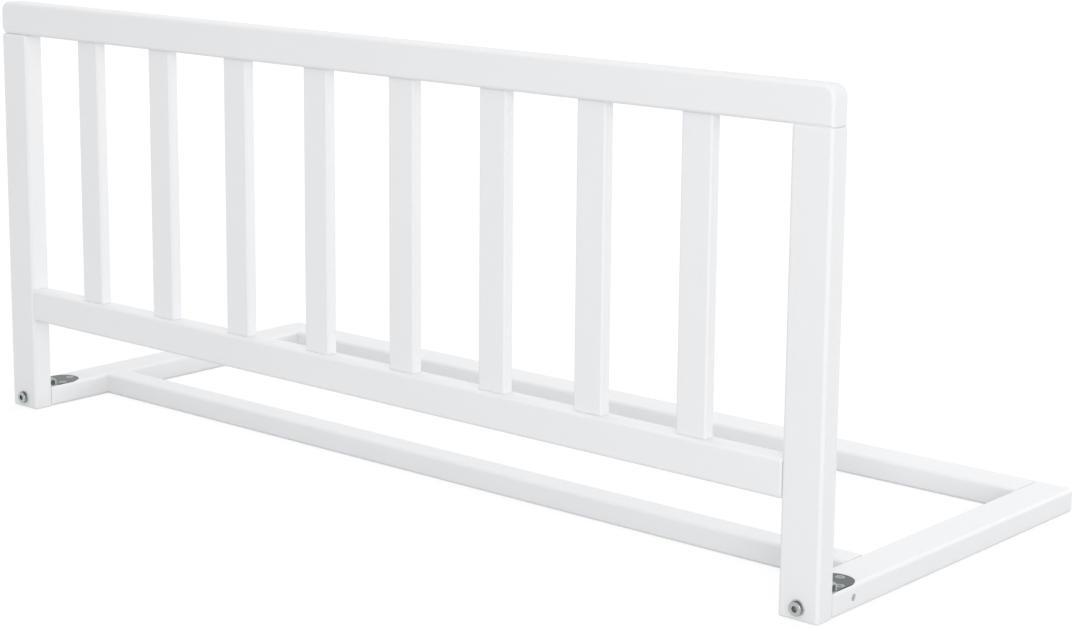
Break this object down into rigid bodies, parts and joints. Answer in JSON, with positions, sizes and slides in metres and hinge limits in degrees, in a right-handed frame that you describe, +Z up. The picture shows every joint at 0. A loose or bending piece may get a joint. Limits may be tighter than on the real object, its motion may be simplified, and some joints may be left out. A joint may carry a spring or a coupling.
{
  "type": "folding bed guard rail",
  "caption": "White wooden bed guard rail: a slatted panel hinged to a flat base frame that slides under the mattress, with lock bolts at the feet.",
  "frame": {"origin": "on the floor, midway along the rail and midway between the front of the lock bolts and the back of the base frame", "axes": "+X along the rail, +Y from the panel to the back of the base frame, +Z up"},
  "size_m": [0.9, 0.369, 0.375],
  "materials": {
    "paint": "white satin paint over solid wood",
    "beech": "bare beech dowel",
    "hinge_steel": "dark zinc-plated steel sheet",
    "zinc": "bright zinc-plated steel"
  },
  "bodies": {
    "base": {"front_bar": "paint", "rear_bar": "paint", "left_arm": "paint", "left_arm_leaf": "hinge_steel", "left_hinge_pin": "hinge_steel", "left_sleeve_nut": "zinc", "left_cross_pin": "zinc", "left_front_bar_dowel_1": "beech", "left_front_bar_dowel_2": "beech", "left_rear_bar_dowel_1": "beech", "left_rear_bar_dowel_2": "beech", "left_arm_leaf_screw_1": "zinc", "left_arm_leaf_screw_2": "zinc", "left_arm_leaf_screw_3": "zinc", "right_arm": "paint", "right_arm_leaf": "hinge_steel", "right_hinge_pin": "hinge_steel", "right_sleeve_nut": "zinc", "right_cross_pin": "zinc", "right_front_bar_dowel_1": "beech", "right_front_bar_dowel_2": "beech", "right_rear_bar_dowel_1": "beech", "right_rear_bar_dowel_2": "beech", "right_arm_leaf_screw_1": "zinc", "right_arm_leaf_screw_2": "zinc", "right_arm_leaf_screw_3": "zinc"},
    "panel": {"top_rail": "paint", "bottom_rail": "paint", "slat_1": "paint", "slat_2": "paint", "slat_3": "paint", "slat_4": "paint", "slat_5": "paint", "slat_6": "paint", "slat_7": "paint", "slat_8": "paint", "left_post": "paint", "left_post_leaf": "hinge_steel", "left_post_dowel_1": "beech", "left_post_dowel_2": "beech", "left_bottom_rail_dowel_1": "beech", "left_bottom_rail_dowel_2": "beech", "left_post_leaf_screw_1": "zinc", "left_post_leaf_screw_2": "zinc", "left_post_leaf_screw_3": "zinc", "right_post": "paint", "right_post_leaf": "hinge_steel", "right_post_dowel_1": "beech", "right_post_dowel_2": "beech", "right_bottom_rail_dowel_1": "beech", "right_bottom_rail_dowel_2": "beech", "right_post_leaf_screw_1": "zinc", "right_post_leaf_screw_2": "zinc", "right_post_leaf_screw_3": "zinc"},
    "left_bolt": {"left_lock_bolt": "zinc", "left_lock_washer": "zinc"},
    "right_bolt": {"right_lock_bolt": "zinc", "right_lock_washer": "zinc"}
  },
  "joints": [
    {"name": "panel_fold", "type": "hinge", "parent": "base", "child": "panel", "pos_m": [0, -0.1595, 0.022], "axis": [-1, 0, 0], "range_deg": [0, 90]},
    {"name": "left_bolt_draw", "type": "slide", "parent": "panel", "child": "left_bolt", "axis": [0, -1, 0], "range_m": [0, 0.024]},
    {"name": "right_bolt_draw", "type": "slide", "parent": "panel", "child": "right_bolt", "axis": [0, -1, 0], "range_m": [0, 0.024]}
  ]
}
